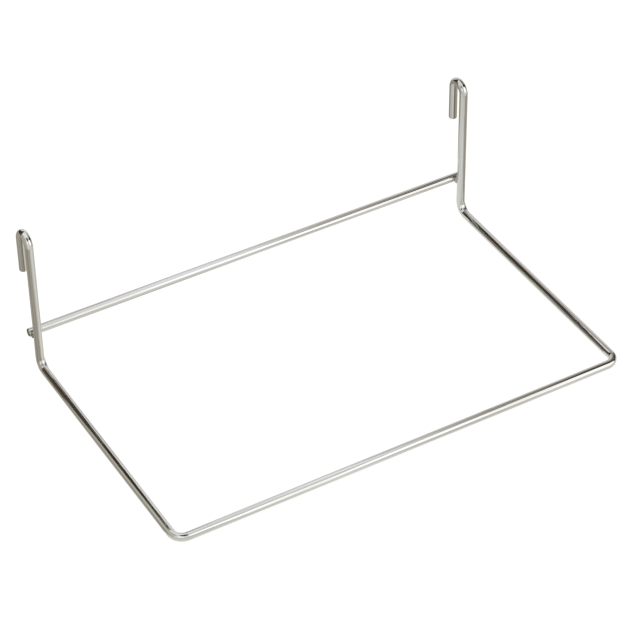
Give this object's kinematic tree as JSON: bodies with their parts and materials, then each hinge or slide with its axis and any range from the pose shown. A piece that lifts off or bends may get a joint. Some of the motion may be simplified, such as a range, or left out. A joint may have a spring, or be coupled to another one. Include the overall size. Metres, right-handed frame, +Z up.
{
  "type": "hanging file rack",
  "caption": "Chrome-plated bent wire rack with open hooks and a welded crossbar; it hangs on a rail or panel edge, and its parallel arms carry hanging file folders.",
  "frame": {"origin": "middle of the bounding box's underside, on the surface that the arms and the front bar lie on", "axes": "+X to the right along the front bar and the crossbar, +Y from the front bar towards the hooks, +Z up along the uprights"},
  "size_m": [0.3186, 0.1994, 0.1045],
  "materials": {
    "frame_chrome": "bright nickel-chrome plate on drawn steel wire",
    "crossbar_chrome": "bright nickel-chrome plate on drawn steel wire",
    "weld_chrome": "chrome plate over rough resistance-weld metal, satin"
  },
  "bodies": {
    "root": {"frame_wire": "frame_chrome", "back_crossbar": "crossbar_chrome", "weld_left": "weld_chrome", "weld_right": "weld_chrome"}
  },
  "joints": []
}
